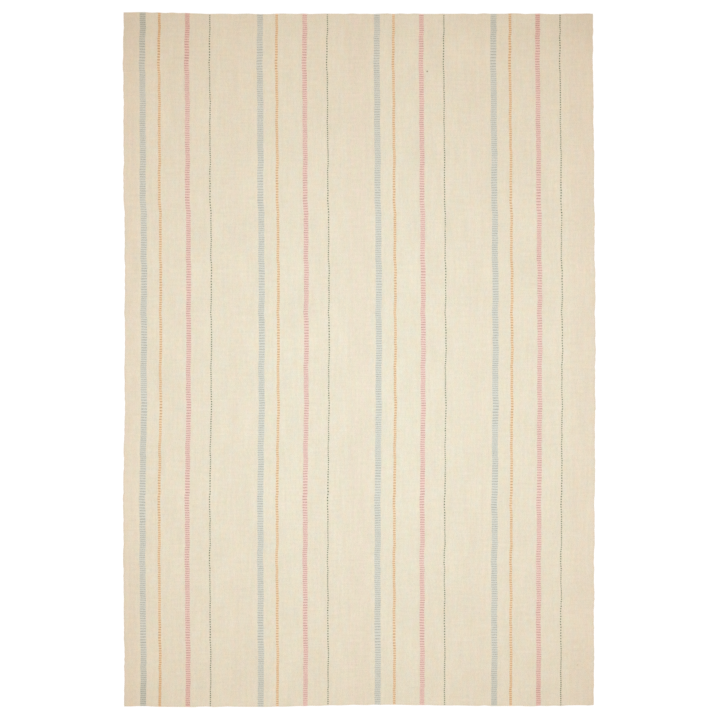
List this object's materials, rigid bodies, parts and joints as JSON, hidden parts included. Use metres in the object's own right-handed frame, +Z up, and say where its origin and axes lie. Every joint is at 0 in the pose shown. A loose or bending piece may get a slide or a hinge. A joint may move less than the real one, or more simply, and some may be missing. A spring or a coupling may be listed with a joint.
{
  "type": "kilim rug",
  "caption": "Flat rectangular woven kilim rug with a cream ground and repeating groups of narrow blue, orange, pink and dark green stripes along its length; lies flat on a floor.",
  "frame": {"origin": "on the floor, under the middle of the rug", "axes": "+X across the width, +Y along the stripes, +Z up through the thickness"},
  "size_m": [1.2268, 1.8024, 0.004],
  "materials": {
    "cream_wool": "matte flat-woven wool, fine crosswise ribs"
  },
  "bodies": {
    "root": {"rug": "cream_wool"}
  },
  "joints": []
}
